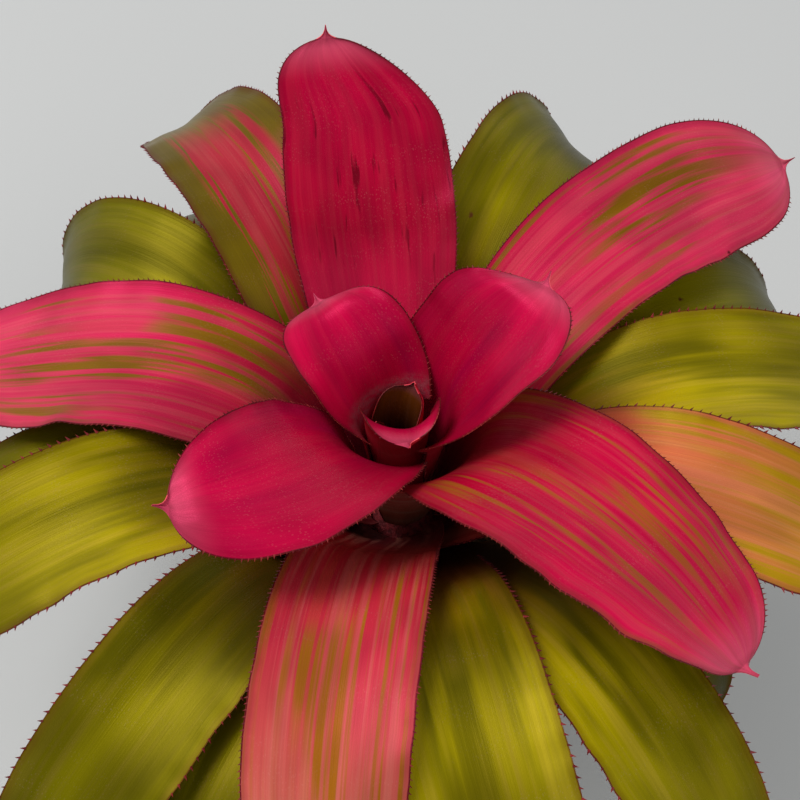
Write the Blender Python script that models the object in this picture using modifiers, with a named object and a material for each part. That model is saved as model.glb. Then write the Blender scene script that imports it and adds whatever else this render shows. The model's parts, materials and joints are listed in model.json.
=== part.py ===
"""A potted bromeliad: a wide rosette of strap-shaped leaves on a short stem, in a round nursery pot.

Metres, +Z up. The pot stands on Z = 0 with the rosette's axis on Z. The leaves follow the plant's own
spiral: each is one turn of SPIRAL_STEP further round than the younger one inside it, and starts a
little lower and further out on the stem, so that the sheaths nest like cups.
"""

import math
from collections import namedtuple

import bmesh
import bpy
from mathutils import Vector

MM = 0.001

# The pot
POT_HEIGHT = 105 * MM
POT_TOP_RADIUS = 63 * MM
POT_FOOT_RADIUS = 47 * MM
POT_WALL = 1.4 * MM
POT_FLOOR = 2.0 * MM
POT_RIM_DEPTH = 13 * MM
POT_RIM_OUT = 2.6 * MM
POT_RIM_EDGE = 1.2 * MM
POT_FOOT_EDGE = 1.5 * MM
POT_STEPS = 64
DRAIN_HOLES = 8
DRAIN_HOLE_RADIUS = 4.0 * MM
DRAIN_RING_RADIUS = 32 * MM
DRAIN_HOLE_STEPS = 16

# The potting mix
MIX_BELOW_RIM = 11 * MM
MIX_DOME = 4 * MM
MIX_DOME_STEPS = 4
MIX_FOOT_EDGE = 3 * MM
FIT_CLEARANCE = 0.3 * MM

# The stem
STEM_FOOT_RADIUS = 15 * MM
STEM_DEPTH_IN_MIX = 22 * MM
STEM_FOOT_EDGE = 2 * MM
STEM_LEAF_CLEARANCE = 0.3 * MM
STEM_TIP_BELOW_LEAVES = 0.5 * MM
STEM_TIP_DEPTH = 1.5 * MM
STEM_SHOULDER_BELOW_LEAVES = 0.5 * MM
STEM_SHOULDER_DEPTH = 3 * MM
STEM_STEPS = 64

# The places where the leaves start: a cone round the stem, above the pot's rim
TOP_LEAF_ABOVE_RIM = 47 * MM
LOW_LEAF_ABOVE_RIM = 3 * MM
TOP_LEAF_RADIUS = 4.5 * MM
SHEATH_GAP = 0.08 * MM

# All leaves. A leaf starts to widen at NECK_SHARE of its sheath and is widest at WIDEST_SHARE of its
# length. Its blade leaves the stem's curve for its own channel by OPENED_SHARE, and its margins are free
# of the wrap by FREED_SHARE.
LEAF_THICKNESS = 1.1 * MM
FIRST_AZIMUTH = 185.0
SPIRAL_STEP = -137.5
NECK_SHARE = 0.6
WIDEST_SHARE = 0.62
TIP_SQUARENESS = 2.2
TIP_WIDTH = 2.4 * MM
OPENED_SHARE = 0.45
FREED_SHARE = 0.35
TIGHTEST_RADIUS = 4 * MM
FLATTEST_BEND = 1e-4
STEPS_ALONG = 18
STEPS_ACROSS = 6
TIP_CROWDING = 1.35
CENTRELINE_STEPS = 240

# One leaf, from the heart outward. Sizes are in millimetres and angles in degrees. "turn" is how far it
# leaves the spiral, "rise", "spread" and "droop" are its slope at the sheath, the middle and the tip,
# "sway" bends it sideways, "roll" twists its blade, "channel" is how far its margins fold up, "wrap" is
# how far the sheath goes round the stem, "neck" is the sheath's share of the full width, and "sheath" is
# its share of the length.
Leaf = namedtuple("Leaf", "turn length width rise spread droop sway roll channel wrap neck sheath kind")


def heart(turn, length, width, rise, spread, droop, sway, roll, channel=120, neck=0.85):
    """A small leaf rolled round the growing point."""
    return Leaf(turn, length, width, rise, spread, droop, sway, roll, channel, 150, neck, 0.30, "crimson")


def spoon(turn, length, width, rise, spread, droop, sway, roll, channel, wrap, neck, sheath):
    """A short inner leaf that cups the heart."""
    return Leaf(turn, length, width, rise, spread, droop, sway, roll, channel, wrap, neck, sheath, "crimson")


def strap(turn, length, width, rise, spread, droop, sway, roll, kind, channel=45, neck=0.85):
    """A long leaf of the open rosette."""
    return Leaf(turn, length, width, rise, spread, droop, sway, roll, channel, 132, neck, 0.30, kind)


LEAVES = [
    heart(0, 46, 15, 86, 85, 77, 0, 0),
    heart(16, 58, 24, 84, 84, 72, -4, -6, channel=168),
    heart(8, 90, 41, 83, 102, 28, 0, 0, channel=172, neck=0.8),
    spoon(2, 108, 56, 82, 58, -10, -18, -8, 84, 160, 1.0, 0.46),
    spoon(14, 134, 76, 78, 61, 30, 46, -11, 80, 136, 0.66, 0.45),
    spoon(22, 176, 64, 77, 15, 18, -46, -12, 50, 132, 0.68, 0.31),
    strap(17, 194, 72, 56, -2, 67, 0, 2, "crimson", channel=30, neck=0.72),
    strap(13, 226, 80, 71, -27, -2, -2, -22, "striped", channel=25, neck=0.85),
    strap(2, 214, 76, 55, -48, 0, 18, 0, "striped", neck=0.9),
    strap(15, 232, 66, 50, -24, 10, -18, 27, "striped", channel=50, neck=0.8),
    strap(10, 256, 60, 55, -20, -42, 16, 0, "striped", channel=50),
    strap(7, 240, 62, 50, 5, -58, 2, -10, "striped", channel=55),
    strap(5, 226, 66, 54, -18, -22, 0, 0, "green", channel=40),
    strap(4, 228, 62, 51, -25, -30, 5, -16, "green"),
    strap(4, 225, 65, 52, 12, -70, 0, 28, "green", channel=55),
    strap(-3, 258, 62, 52, -15, -36, 15, 5, "green"),
    strap(0, 218, 60, 50, 5, -76, 4, -30, "green", channel=50),
    strap(1, 234, 62, 55, -27, -20, -8, 0, "green"),
    strap(5, 262, 56, 53, -44, -17, -4, -14, "green"),
    strap(0, 217, 58, 53, 8, -70, 0, 0, "green"),
    strap(-12, 260, 53, 54, -12, -45, -3, 0, "green"),
    strap(13, 215, 56, 54, -12, -55, 0, 0, "green"),
    strap(-12, 225, 54, 54, 3, -76, -5, 8, "green", channel=50),
    strap(-19, 230, 56, 54, -12, -51, 0, 3, "green"),
    strap(-5, 205, 56, 53, -10, -66, 0, 0, "green"),
    strap(-24, 172, 48, 53, -20, -70, 0, 0, "green"),
]

COLOURS = {
    "crimson": (0.52, 0.008, 0.055, 1.0),
    "striped": (0.50, 0.045, 0.075, 1.0),
    "green": (0.135, 0.125, 0.012, 1.0),
    "pot": (0.020, 0.021, 0.022, 1.0),
    "mix": (0.055, 0.030, 0.016, 1.0),
    "stem": (0.20, 0.13, 0.055, 1.0),
}


def clear_scene():
    """Removes every object that Blender starts with."""
    for obj in list(bpy.data.objects):
        bpy.data.objects.remove(obj, do_unlink=True)


def collection(name, hidden=False):
    """Makes a collection in the scene."""
    made = bpy.data.collections.new(name)
    made.hide_render = hidden
    bpy.context.scene.collection.children.link(made)
    return made


def material(name, colour, roughness):
    """A plain Principled material."""
    made = bpy.data.materials.new(name)
    made.use_nodes = True
    shader = made.node_tree.nodes["Principled BSDF"]
    shader.inputs["Base Color"].default_value = colour
    shader.inputs["Roughness"].default_value = roughness
    shader.inputs["Metallic"].default_value = 0.0
    made.diffuse_color = colour
    return made


def add_object(name, bm, home, look):
    """Puts a bmesh into a new object of this name."""
    mesh = bpy.data.meshes.new(name)
    bm.to_mesh(mesh)
    bm.free()
    mesh.materials.append(look)
    mesh.shade_smooth()
    obj = bpy.data.objects.new(name, mesh)
    home.objects.link(obj)
    return obj


def ease(low, high, value):
    """Goes smoothly from 0 at low to 1 at high."""
    share = min(max((value - low) / (high - low), 0.0), 1.0)
    return share * share * (3.0 - 2.0 * share)


# The stem's cone, which the leaves start from


def age(order):
    """0 for the youngest leaf and 1 for the oldest."""
    return order / (len(LEAVES) - 1)


def start_radius(order):
    return TOP_LEAF_RADIUS + (LEAF_THICKNESS + SHEATH_GAP) * order


def start_height(order):
    above = TOP_LEAF_ABOVE_RIM + (LOW_LEAF_ABOVE_RIM - TOP_LEAF_ABOVE_RIM) * age(order)
    return POT_HEIGHT + above


# One leaf


def slope(leaf, blade):
    """The centreline's slope in radians, where blade is 0 at the top of the sheath and 1 at the tip."""
    rest = 1.0 - blade
    degrees = rest * rest * leaf.rise + 2.0 * blade * rest * leaf.spread + blade * blade * leaf.droop
    return math.radians(degrees)


def heading(leaf, order, blade):
    """The centreline's direction round the plant, in radians."""
    degrees = FIRST_AZIMUTH + SPIRAL_STEP * order + leaf.turn + leaf.sway * blade * blade
    return math.radians(degrees)


def blade_share(leaf, along):
    """How far along the blade a point of the whole leaf is."""
    return max(0.0, (along - leaf.sheath) / (1.0 - leaf.sheath))


def centreline(leaf, order):
    """Points at even steps from the leaf's start to its tip."""
    step = leaf.length * MM / CENTRELINE_STEPS
    azimuth = heading(leaf, order, 0.0)
    radius = start_radius(order)
    point = Vector((radius * math.cos(azimuth), radius * math.sin(azimuth), start_height(order)))
    points = [point.copy()]
    for index in range(CENTRELINE_STEPS):
        blade = blade_share(leaf, (index + 0.5) / CENTRELINE_STEPS)
        tilt = slope(leaf, blade)
        azimuth = heading(leaf, order, blade)
        flat = math.cos(tilt)
        point = point + step * Vector((flat * math.cos(azimuth), flat * math.sin(azimuth), math.sin(tilt)))
        points.append(point.copy())
    return points


def centre_at(points, along):
    """The centreline's point at a share of its length."""
    place = along * CENTRELINE_STEPS
    index = min(int(place), CENTRELINE_STEPS - 1)
    return points[index].lerp(points[index + 1], place - index)


def half_width(leaf, along):
    """Half the leaf's width, measured along its curved surface."""
    half = 0.5 * leaf.width * MM
    tip = max(0.0, (along - WIDEST_SHARE) / (1.0 - WIDEST_SHARE))
    rounded = half * math.sqrt(max(0.0, 1.0 - tip**TIP_SQUARENESS))
    widened = ease(leaf.sheath * NECK_SHARE, WIDEST_SHARE, along)
    body = half * (leaf.neck + (1.0 - leaf.neck) * widened)
    return max(min(body, rounded), 0.5 * TIP_WIDTH)


def leaf_point(leaf, order, points, along, across):
    """A point of the leaf's middle surface; across runs from -1 to 1."""
    centre = centre_at(points, along)
    blade = blade_share(leaf, along)
    tilt = slope(leaf, blade)
    azimuth = heading(leaf, order, blade)
    radius = max(math.hypot(centre.x, centre.y), TIGHTEST_RADIUS)
    hug = math.sin(tilt) / radius
    fold = math.radians(leaf.channel) / (leaf.width * MM)
    opened = ease(0.0, OPENED_SHARE, blade)
    bend = max((1.0 - opened) * hug + opened * fold, FLATTEST_BEND)
    half = half_width(leaf, along)
    if blade < FREED_SHARE:
        wrapped = math.radians(leaf.wrap / 2) / hug
        half = min(half, wrapped + ease(0.0, FREED_SHARE, blade) * leaf.width * MM)
    angle = bend * across * half
    sideways = Vector((-math.sin(azimuth), math.cos(azimuth), 0.0))
    upward = Vector((-math.sin(tilt) * math.cos(azimuth), -math.sin(tilt) * math.sin(azimuth), math.cos(tilt)))
    twist = math.radians(leaf.roll) * ease(0.0, 1.0, blade)
    turned_side = sideways * math.cos(twist) + upward * math.sin(twist)
    turned_up = upward * math.cos(twist) - sideways * math.sin(twist)
    return centre + turned_side * (math.sin(angle) / bend) + turned_up * ((1.0 - math.cos(angle)) / bend)


def make_leaf(leaf, order, home, look):
    """A flat grid bent to the leaf's shape and given its thickness."""
    bm = bmesh.new()
    bmesh.ops.create_grid(bm, x_segments=STEPS_ACROSS, y_segments=STEPS_ALONG, size=1.0)
    points = centreline(leaf, order)
    for vert in bm.verts:
        even = 0.5 * (vert.co.y + 1.0)
        along = 1.0 - (1.0 - even) ** TIP_CROWDING
        vert.co = leaf_point(leaf, order, points, along, vert.co.x)
    name = "leaf_%02d" % (order + 1)
    obj = add_object(name, bm, home, look)
    solid = obj.modifiers.new("Thickness", "SOLIDIFY")
    solid.thickness = LEAF_THICKNESS
    solid.offset = 0.0
    return obj


# The pot, the mix and the stem


def turned(name, profile, steps, home, look):
    """A closed piece turned round Z from (radius, height) points, which run down its outer side."""
    bm = bmesh.new()
    verts = [bm.verts.new((radius, 0.0, height)) for radius, height in profile]
    for first, second in zip(verts, verts[1:]):
        bm.edges.new((first, second))
    if profile[0][0] > 0.0:
        bm.edges.new((verts[-1], verts[0]))
    obj = add_object(name, bm, home, look)
    screw = obj.modifiers.new("Turn", "SCREW")
    screw.axis = "Z"
    screw.angle = 2.0 * math.pi
    screw.steps = steps
    screw.render_steps = steps
    screw.use_merge_vertices = True
    screw.merge_threshold = 0.00001
    return obj


def pot_inner_radius(height):
    """The pot's inside at a height above the floor."""
    share = height / POT_HEIGHT
    return POT_FOOT_RADIUS + (POT_TOP_RADIUS - POT_FOOT_RADIUS) * share - POT_WALL


def make_pot(home, cutters, look):
    """A tapered thin-walled pot with a rolled rim, a flat foot and drain holes."""
    rim_low = POT_HEIGHT - POT_RIM_DEPTH
    wall_at_rim = pot_inner_radius(rim_low) + POT_WALL
    edge = POT_RIM_EDGE
    profile = [
        (0.0, POT_FLOOR),
        (pot_inner_radius(POT_FLOOR) - POT_FOOT_EDGE, POT_FLOOR),
        (pot_inner_radius(POT_FLOOR + POT_FOOT_EDGE), POT_FLOOR + POT_FOOT_EDGE),
        (pot_inner_radius(POT_HEIGHT), POT_HEIGHT - edge),
        (pot_inner_radius(POT_HEIGHT) + 0.5 * edge, POT_HEIGHT),
        (POT_TOP_RADIUS + POT_RIM_OUT - 0.5 * edge, POT_HEIGHT),
        (POT_TOP_RADIUS + POT_RIM_OUT, POT_HEIGHT - edge),
        (wall_at_rim + POT_RIM_OUT, rim_low + edge),
        (wall_at_rim + POT_RIM_OUT - 0.5 * edge, rim_low),
        (wall_at_rim, rim_low - edge),
        (POT_FOOT_RADIUS, POT_FOOT_EDGE),
        (POT_FOOT_RADIUS - POT_FOOT_EDGE, 0.0),
        (0.0, 0.0),
    ]
    pot = turned("pot", profile, POT_STEPS, home, look)
    for index in range(DRAIN_HOLES):
        angle = 2.0 * math.pi * (index + 0.5) / DRAIN_HOLES
        place = (DRAIN_RING_RADIUS * math.cos(angle), DRAIN_RING_RADIUS * math.sin(angle), 0.5 * POT_FLOOR)
        cutter = round_cutter("drain_cutter_%d" % (index + 1), DRAIN_HOLE_RADIUS, 3.0 * POT_FLOOR, place, cutters)
        cut = pot.modifiers.new("Drain %d" % (index + 1), "BOOLEAN")
        cut.operation = "DIFFERENCE"
        cut.object = cutter
    return pot


def round_cutter(name, radius, length, place, home):
    """An upright cylinder that only cuts."""
    bm = bmesh.new()
    bmesh.ops.create_cone(
        bm, cap_ends=True, segments=DRAIN_HOLE_STEPS, radius1=radius, radius2=radius, depth=length
    )
    mesh = bpy.data.meshes.new(name)
    bm.to_mesh(mesh)
    bm.free()
    obj = bpy.data.objects.new(name, mesh)
    obj.location = place
    obj.rotation_euler.z = math.pi / DRAIN_HOLE_STEPS
    obj.hide_render = True
    obj.display_type = "WIRE"
    home.objects.link(obj)
    return obj


def mix_top():
    """The height of the mix at the pot's wall."""
    return POT_HEIGHT - MIX_BELOW_RIM


def stem_foot():
    """The height of the stem's lowest point, inside the mix."""
    return mix_top() - STEM_DEPTH_IN_MIX


def make_mix(home, look):
    """The block of potting mix that fills the pot, with the hole that the stem stands in."""
    bottom = POT_FLOOR + FIT_CLEARANCE
    edge = MIX_FOOT_EDGE
    top_radius = pot_inner_radius(mix_top()) - FIT_CLEARANCE
    hole_radius = STEM_FOOT_RADIUS + FIT_CLEARANCE
    profile = [(0.0, stem_foot() - FIT_CLEARANCE), (hole_radius, stem_foot() - FIT_CLEARANCE)]
    for step in range(MIX_DOME_STEPS + 1):
        out = step / MIX_DOME_STEPS
        radius = hole_radius + (top_radius - hole_radius) * out
        profile.append((radius, mix_top() + MIX_DOME * (1.0 - out * out)))
    profile += [
        (pot_inner_radius(bottom + edge) - FIT_CLEARANCE, bottom + edge),
        (pot_inner_radius(bottom) - FIT_CLEARANCE - edge, bottom),
        (0.0, bottom),
    ]
    return turned("potting_mix", profile, POT_STEPS, home, look)


def make_stem(home, look):
    """The short stem: a cone under the leaves' starts and a straight foot in the mix."""
    inset = 0.5 * LEAF_THICKNESS + STEM_LEAF_CLEARANCE
    last = len(LEAVES) - 1
    tip = start_height(0) - STEM_TIP_BELOW_LEAVES
    shoulder = start_height(last) - STEM_SHOULDER_BELOW_LEAVES
    profile = [
        (0.0, tip),
        (0.6 * (start_radius(0) - inset), tip - 0.2 * STEM_TIP_DEPTH),
        (start_radius(0) - inset, tip - STEM_TIP_DEPTH),
        (start_radius(last) - inset, shoulder),
        (STEM_FOOT_RADIUS, shoulder - STEM_SHOULDER_DEPTH),
        (STEM_FOOT_RADIUS, stem_foot() + STEM_FOOT_EDGE),
        (STEM_FOOT_RADIUS - STEM_FOOT_EDGE, stem_foot()),
        (0.0, stem_foot()),
    ]
    return turned("stem", profile, STEM_STEPS, home, look)


def main():
    clear_scene()
    plant = collection("potted_bromeliad")
    cutters = collection("cutters", hidden=True)
    make_pot(plant, cutters, material("pot", COLOURS["pot"], 0.45))
    make_mix(plant, material("potting_mix", COLOURS["mix"], 0.95))
    make_stem(plant, material("stem", COLOURS["stem"], 0.7))
    for order, leaf in enumerate(LEAVES):
        look = material("leaf_%02d" % (order + 1), COLOURS[leaf.kind], 0.35)
        make_leaf(leaf, order, plant, look)


main()
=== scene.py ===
"""The looks of a potted bromeliad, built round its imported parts.

Each leaf is a fine blade that takes the shape of its packed leaf, with a toothed margin and a spine at its
tip. The pot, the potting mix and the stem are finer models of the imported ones. Metres, +Z up.
"""

import json
import math
import random
from collections import namedtuple
from functools import lru_cache

import bmesh
import bpy
from mathutils import Matrix, Vector, noise

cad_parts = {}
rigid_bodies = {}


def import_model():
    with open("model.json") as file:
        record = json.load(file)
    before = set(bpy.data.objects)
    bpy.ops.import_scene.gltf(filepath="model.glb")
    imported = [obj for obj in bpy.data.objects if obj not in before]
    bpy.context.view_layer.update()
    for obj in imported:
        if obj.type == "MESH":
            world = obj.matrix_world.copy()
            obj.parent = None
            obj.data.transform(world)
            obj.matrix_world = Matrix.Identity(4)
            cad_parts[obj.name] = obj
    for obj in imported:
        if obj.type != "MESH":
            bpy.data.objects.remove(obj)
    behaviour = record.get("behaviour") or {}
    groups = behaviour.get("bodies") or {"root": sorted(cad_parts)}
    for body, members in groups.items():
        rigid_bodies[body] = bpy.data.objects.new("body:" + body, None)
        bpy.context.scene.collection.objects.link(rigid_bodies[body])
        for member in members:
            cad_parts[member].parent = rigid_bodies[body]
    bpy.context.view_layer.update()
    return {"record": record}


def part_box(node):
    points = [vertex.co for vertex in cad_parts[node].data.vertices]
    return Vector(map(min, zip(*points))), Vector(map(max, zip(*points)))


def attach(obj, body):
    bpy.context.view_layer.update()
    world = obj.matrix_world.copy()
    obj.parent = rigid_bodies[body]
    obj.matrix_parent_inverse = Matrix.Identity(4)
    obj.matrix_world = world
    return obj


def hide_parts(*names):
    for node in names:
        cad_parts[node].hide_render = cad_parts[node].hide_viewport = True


MM = 0.001

# The leaves' start on the stem, the oldest nearest the pot's rim
TOP_LEAF_ABOVE_RIM = 47 * MM
LOW_LEAF_ABOVE_RIM = 3 * MM
TOP_LEAF_RADIUS = 4.5 * MM
SHEATH_GAP = 0.08 * MM
LEAF_THICKNESS = 1.1 * MM
FIRST_AZIMUTH = 185.0
SPIRAL_STEP = -137.5

# The form that all leaves share. A leaf starts to widen at NECK_SHARE of its sheath and is widest at
# WIDEST_SHARE of its length. Its blade leaves the curve of the sheath by OPENED_SHARE, and its margins come
# free of the stem by FREED_SHARE. The beak and the tip's sideways lean start at the next two shares.
NECK_SHARE = 0.6
WIDEST_SHARE = 0.62
OPENED_SHARE = 0.45
FREED_SHARE = 0.35
BEAK_SHARE = 0.84
SKEW_SHARE = 0.80
TIGHTEST_RADIUS = 4 * MM
FLATTEST_BEND = 1e-4
CENTRELINE_STEPS = 240

# The fine blade: its mesh, where it ends and the spine starts, and how its margins thin out. Its flow is
# measured in units of FLOW_UNIT millimetres, and each leaf's flow starts FLOW_APART after the last one's.
FLOW_UNIT = 100.0
FLOW_APART = 3.7
MARGIN_SLOT = 2
ROW_PITCH = 2.3 * MM
FEWEST_ROWS = 24
COLUMNS = 26
TIP_CROWDING = 1.35
BLADE_END_HALF = 4.5 * MM
BLADE_END_SHARE = 0.2
BLADE_END_STEP = 0.0005
MARGIN_WEIGHT = 0.34
THINNING_SHARE = 0.35
TIP_ROUNDING = 0.5 * MM
SMOOTH_BELOW = math.radians(50)

# The spine at the tip. A leaf shorter than SHORT_LEAF, in millimetres, has a smaller spine and teeth.
SPINE_LENGTH = 6.5 * MM
SPINE_ROWS = (0.08, 0.2, 0.36, 0.6, 1.0)
SPINE_HALF = 0.3 * MM
SPINE_FADE = 1.9 * MM
SPINE_TAPER = 0.8
SPINE_WEIGHT = 0.4
SPINE_THINNING = 0.7
SPINE_CURL = 0.22
SPINE_EDGE = 4.0 * MM
SHORT_LEAF = 130.0

# The rim that rolls out, the slow swell of the blade and the quick ripple of its margins, and the foot that
# leans to the stem. Each pair of shares is where on the blade it starts and where it is whole. The swell's
# pitch is in millimetres.
FLARE_REACH = 15 * MM
FLARE_SHARES = (0.35, 0.85)
SWELL = 1.3 * MM
SWELL_SHARES = (0.1, 0.5)
SWELLS_ACROSS = 1.3
SWELL_PITCH = 55.0
RIPPLES_PER_SWELL = 4.5
RIPPLE = 1.6 * MM
NOISE_APART = 7.0
FOOT_REACH = 6 * MM
FOOT_PULL = 1.6 * MM

# The margin's teeth. They start and stop at shares of the leaf's length, and a tooth's foot and point have
# radii that are shares of its own length.
TOOTH_START = 0.16
TOOTH_STOP = 0.985
TOOTH_FORWARD = 0.55
TOOTH_SIDES = 5
TOOTH_SUNK = 0.4 * MM
TOOTH_FOOT = 0.36
TOOTH_POINT = 0.03
TOOTH_SIZES = (0.65, 1.15)
TOOTH_INNER = 0.96

# One leaf, from the heart outward, in millimetres and degrees: how far it leaves the spiral, its length and
# width, its slope at the sheath, the middle and the tip, its sideways bend, its roll, how far its margins
# fold up, how far the sheath goes round the stem, the sheath's share of the width and of the length, the
# beak's fold, how far the tip's rim rolls out, how square the tip is, how far its spine sits to one side,
# its finish, and its tone from gold at 0 to deep green at 1.
Leaf = namedtuple(
    "Leaf",
    "turn length width rise spread droop sway roll channel wrap neck sheath beak flare square skew finish"
    " tone",
)

# What the three kinds of leaf share, where a leaf's own row doesn't say otherwise
HEART_FORM = dict(
    sway=0, roll=0, channel=120, wrap=150, neck=0.85, sheath=0.30, beak=0, flare=0, square=4.5, skew=0,
    tone=0.5,
)
SPOON_FORM = dict(wrap=132, beak=0, square=2.6, skew=0, finish="crimson", tone=0.5)
STRAP_FORM = dict(channel=45, wrap=132, neck=0.85, sheath=0.30, beak=35, flare=1.5, square=3.2, skew=0)


def heart(turn, length, width, rise, spread, droop, finish, **form):
    """A small leaf rolled round the growing point."""
    return Leaf(turn, length, width, rise, spread, droop, finish=finish, **{**HEART_FORM, **form})


def spoon(turn, length, width, rise, spread, droop, sway, roll, **form):
    """A short inner leaf that cups the heart."""
    return Leaf(turn, length, width, rise, spread, droop, sway, roll, **{**SPOON_FORM, **form})


def strap(turn, length, width, rise, spread, droop, sway, roll, finish, tone=0.5, **form):
    """A long leaf of the open rosette."""
    form = {**STRAP_FORM, **form}
    return Leaf(turn, length, width, rise, spread, droop, sway, roll, finish=finish, tone=tone, **form)


LEAVES = [
    heart(0, 46, 15, 86, 85, 77, "bud"),
    heart(16, 58, 37, 84, 84, 72, "bud", channel=205, sway=-4, roll=-6),
    heart(8, 90, 41, 83, 102, 28, "crimson", channel=172, neck=0.8, flare=2.5, square=3.0),
    spoon(
        2, 108, 56, 82, 58, -10, -18, -8,
        channel=84, wrap=160, neck=1.0, sheath=0.46, flare=4.0, finish="tide_marked",
    ),
    spoon(14, 134, 76, 78, 61, 30, 46, -11, channel=80, wrap=136, neck=0.66, sheath=0.45, flare=4.5),
    spoon(22, 176, 64, 77, 15, 18, -46, -12, channel=50, neck=0.68, sheath=0.31, flare=5.0),
    strap(17, 194, 72, 56, -2, 67, 0, 2, "streaked", channel=30, neck=0.72, flare=3.5, square=3.0, skew=12),
    strap(
        13, 226, 80, 71, -27, -2, -2, -22, "hot_pink",
        channel=25, beak=80, flare=2.5, square=3.6, skew=-6,
    ),
    strap(2, 214, 76, 55, -48, 0, 18, 0, "banded", neck=0.9, beak=60),
    strap(
        15, 232, 66, 50, -24, 10, -18, 27, "banded",
        channel=50, neck=0.8, beak=20, flare=2.5, square=4.2, skew=-5,
    ),
    strap(10, 256, 60, 55, -20, -42, 16, 0, "fine_striped", channel=50),
    strap(7, 240, 62, 50, 5, -58, 2, -10, "pink_centred", channel=55),
    strap(5, 226, 66, 54, -18, -22, 0, 0, "golden", 0.1, channel=40),
    strap(4, 228, 62, 51, -25, -30, 5, -16, "olive", 0.3),
    strap(4, 225, 65, 52, 12, -70, 0, 28, "olive", 0.7, channel=55),
    strap(-3, 258, 62, 52, -15, -36, 15, 5, "olive", 0.35),
    strap(0, 218, 60, 50, 5, -76, 4, -30, "olive", 0.8, channel=50),
    strap(1, 234, 62, 55, -27, -20, -8, 0, "olive", 0.2),
    strap(5, 262, 56, 53, -44, -17, -4, -14, "olive", 0.75),
    strap(0, 217, 58, 53, 8, -70, 0, 0, "olive", 0.7),
    strap(-12, 260, 53, 54, -12, -45, -3, 0, "olive", 0.45),
    strap(13, 215, 56, 54, -12, -55, 0, 0, "olive", 0.8),
    strap(-12, 225, 54, 54, 3, -76, -5, 8, "olive", 0.9, channel=50),
    strap(-19, 230, 56, 54, -12, -51, 0, 3, "olive", 0.6),
    strap(-5, 205, 56, 53, -10, -66, 0, 0, "olive", 0.8),
    strap(-24, 172, 48, 53, -20, -70, 0, 0, "olive", 0.95),
]

# Pitch and length of the margin's teeth, for the pink leaves and the green ones
FINE_TEETH = (2.3 * MM, 1.15 * MM)
COARSE_TEETH = (3.8 * MM, 1.7 * MM)
COARSE_FINISHES = ("golden", "olive")

# The pot. Its rim has RIM_GROOVES grooves, and a shallow step goes round its wall.
POT_FOOT_RADIUS = 47 * MM
POT_RIM_DEPTH = 13 * MM
POT_RIM_OUT = 2.6 * MM
POT_WALL = 1.4 * MM
POT_FLOOR = 2.0 * MM
POT_STEPS = 144
LIP_EDGE = 0.6 * MM
LIP_DEPTH = 1.2 * MM
RIM_GROOVES = 3
GROOVE_START = 3.0 * MM
GROOVE_PITCH = 2.4 * MM
GROOVE_DEPTH = 0.5 * MM
RIM_SLANT = 0.05
POT_FOOT_EDGE = 1.5 * MM
FOOT_RING_WIDTH = 4 * MM
FLOOR_HOLLOW = 0.8 * MM
DRAIN_HOLES = 8
DRAIN_HOLE_RADIUS = 4 * MM
DRAIN_HOLE_SIDES = 28
DRAIN_RING_RADIUS = 32 * MM
SHARP_TURN = 0.5

# The stem, with its rings of leaf scars
STEM_FOOT_RADIUS = 15 * MM
STEM_SHOULDER_BELOW_LEAVES = 4 * MM
STEM_SHOULDER_DEPTH = 3 * MM
STEM_FOOT_EDGE = 2 * MM
STEM_TIP_DEPTH = 3 * MM
STEM_STEPS = 96
SCAR_RINGS = 26
SCAR_DEPTH = 0.4 * MM
SCAR_HEIGHT = 0.5 * MM
STEM_BROWN_BELOW = 112 * MM
STEM_RED_ABOVE = 124 * MM

# The mix and what lies on it. The lengths and widths of the loose bits are in millimetres.
FIT_CLEARANCE = 0.3 * MM
MIX_DOME_HEIGHT = 4 * MM
MIX_FOOT_EDGE = 3 * MM
MIX_RINGS = 22
MIX_STEPS = 120
CRUMBLE_COARSE = 160.0
CRUMBLE_FINE = 620.0
SCATTER_INSET = 5 * MM
BARK_CHIPS = 330
BARK_LENGTHS = (2.0, 5.2)
PERLITE_BITS = 70
PERLITE_WIDTHS = (0.9, 1.9)
PERLITE_LIFT = 1.0 * MM
FIBRES = 60
FIBRE_LENGTHS = (7.0, 16.0)
FIBRE_LIFT = 1.9 * MM

# The stage
FLOOR_RADIUS = 6.0
VIEW_TARGET = Vector((0.001, 0.0, 0.2165))
VIEW_ELEVATION = math.radians(54)
VIEW_DISTANCE = 0.70
VIEW_LENS = 78.75
VIEW_SENSOR = 36.0
SKY_COLOUR = (0.93, 0.96, 1.0, 1.0)
SKY_STRENGTH = 0.56


@lru_cache
def box(node):
    """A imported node's lowest and highest corners."""
    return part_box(node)


# Shader nodes

# Nearly all of a noise's values lie in the NOISE_SPREAD below NOISE_TOP
NOISE_TOP = 0.725
NOISE_SPREAD = 0.45
FINE_VEIN_SHARE = 0.6
PATCH_LENGTH_PER_WIDTH = 2.2


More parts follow.
